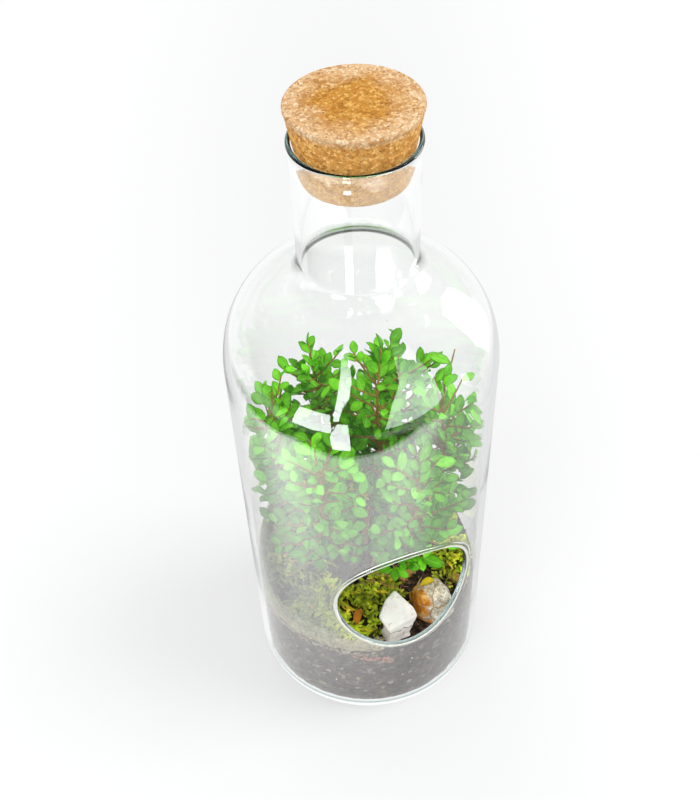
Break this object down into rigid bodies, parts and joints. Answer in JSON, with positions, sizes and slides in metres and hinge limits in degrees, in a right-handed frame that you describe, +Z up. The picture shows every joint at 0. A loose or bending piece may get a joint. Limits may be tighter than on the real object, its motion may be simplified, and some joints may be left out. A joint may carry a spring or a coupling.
{
  "type": "bottle terrarium",
  "caption": "Corked clear glass bottle with a round port in its side, planted with a small-leaved shrub, moss and stones on soil.",
  "frame": {"origin": "centre of the bottle's base, on the surface it stands on", "axes": "+Z up along the bottle's axis, -Y towards the side port"},
  "size_m": [0.12, 0.1202, 0.3375],
  "materials": {
    "glass": "polished",
    "cork": "matte",
    "soil": "matte",
    "moss": "matte",
    "white_stone": "satin",
    "brown_stone": "satin",
    "shrub": "satin",
    "yellow_leaf": "matte",
    "orange_leaf": "matte",
    "bark": "matte"
  },
  "bodies": {
    "root": {"glass_bottle": "glass", "cork_stopper": "cork", "soil_fill": "soil", "moss_front_left": "moss", "moss_left": "moss", "moss_back": "moss", "moss_right": "moss", "moss_front_right": "moss", "moss_behind_stones": "moss", "white_stone": "white_stone", "brown_stone": "brown_stone", "shrub_stem_centre": "shrub", "shrub_stem_right": "shrub", "shrub_stem_left": "shrub", "shrub_stem_front_left": "shrub", "shrub_stem_front_right": "shrub", "shrub_stem_back_right": "shrub", "shrub_stem_back_left": "shrub", "fallen_leaf_yellow": "yellow_leaf", "fallen_leaf_orange": "orange_leaf", "fallen_leaf_on_stone": "yellow_leaf", "fallen_twig": "bark", "bark_chip_back": "bark", "bark_chip_side": "bark"}
  },
  "joints": []
}
